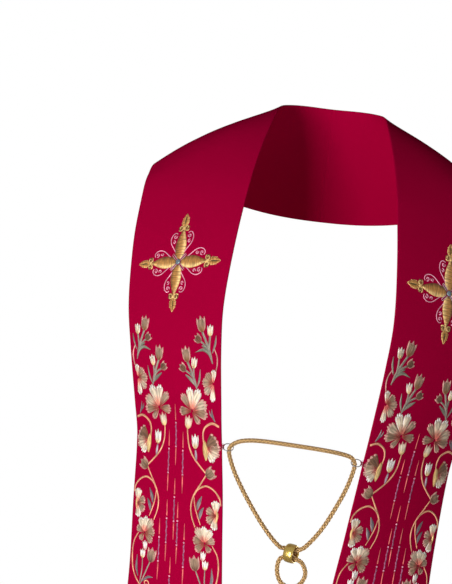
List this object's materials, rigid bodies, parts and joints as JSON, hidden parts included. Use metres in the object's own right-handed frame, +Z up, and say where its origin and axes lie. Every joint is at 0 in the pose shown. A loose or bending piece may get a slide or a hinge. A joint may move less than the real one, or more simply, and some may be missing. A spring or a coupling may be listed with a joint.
{
  "type": "clerical stole",
  "caption": "Clerical stole of lined crimson cloth as worn: bands seamed at the nape hang over the shoulders, with raised gold crosses, edge rings and a gold cord with a slide.",
  "frame": {"origin": "the nape: the neck edge of the centre-back seam, on the side of the cloth that lies on the wearer", "axes": "+Z up, the wearer faces -Y, and +X is the wearer's left"},
  "size_m": [0.4754, 0.2581, 1.2207],
  "materials": {
    "cloth": "smooth satin, low sheen",
    "gold_thread": "metallic thread, satin stitched over padding",
    "ring_wire": "bright wire",
    "slide_metal": "brushed gold",
    "gold_cord": "braided metallic thread"
  },
  "bodies": {
    "root": {"band_right": "cloth", "band_left": "cloth", "cross_right": "gold_thread", "cross_left": "gold_thread", "ring_right": "ring_wire", "ring_left": "ring_wire", "slide": "slide_metal", "cord": "gold_cord"}
  },
  "joints": []
}
